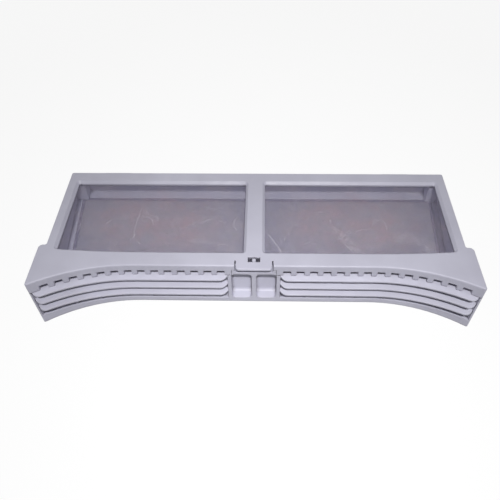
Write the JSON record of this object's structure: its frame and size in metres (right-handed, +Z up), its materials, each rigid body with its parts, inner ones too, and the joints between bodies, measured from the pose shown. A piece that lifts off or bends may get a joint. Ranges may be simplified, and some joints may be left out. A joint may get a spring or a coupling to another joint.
{
  "type": "tumble dryer lint filter",
  "caption": "Wide hinged lint filter case for a tumble dryer, with fine mesh windows in lid and base, a concave louvred front, finger pockets and a sprung latch tab.",
  "frame": {"origin": "middle of the footprint of the closed filter, on the surface it lies on", "axes": "+X to the right along the filter's width, +Y from the louvred front to the hinge, +Z up"},
  "size_m": [0.411, 0.167, 0.0579],
  "materials": {
    "case_plastic": "smooth moulded, slightly satin",
    "mesh": "fine woven synthetic screen"
  },
  "bodies": {
    "base": {"case_base": "case_plastic", "base_mesh_left": "mesh", "base_mesh_right": "mesh"},
    "lid": {"case_lid": "case_plastic", "lid_mesh_left": "mesh", "lid_mesh_right": "mesh"}
  },
  "joints": [
    {"name": "lid_hinge", "type": "hinge", "parent": "base", "child": "lid", "pos_m": [0, 0.08014, 0.01792], "axis": [-1, 0, 0], "range_deg": [0, 165]}
  ]
}
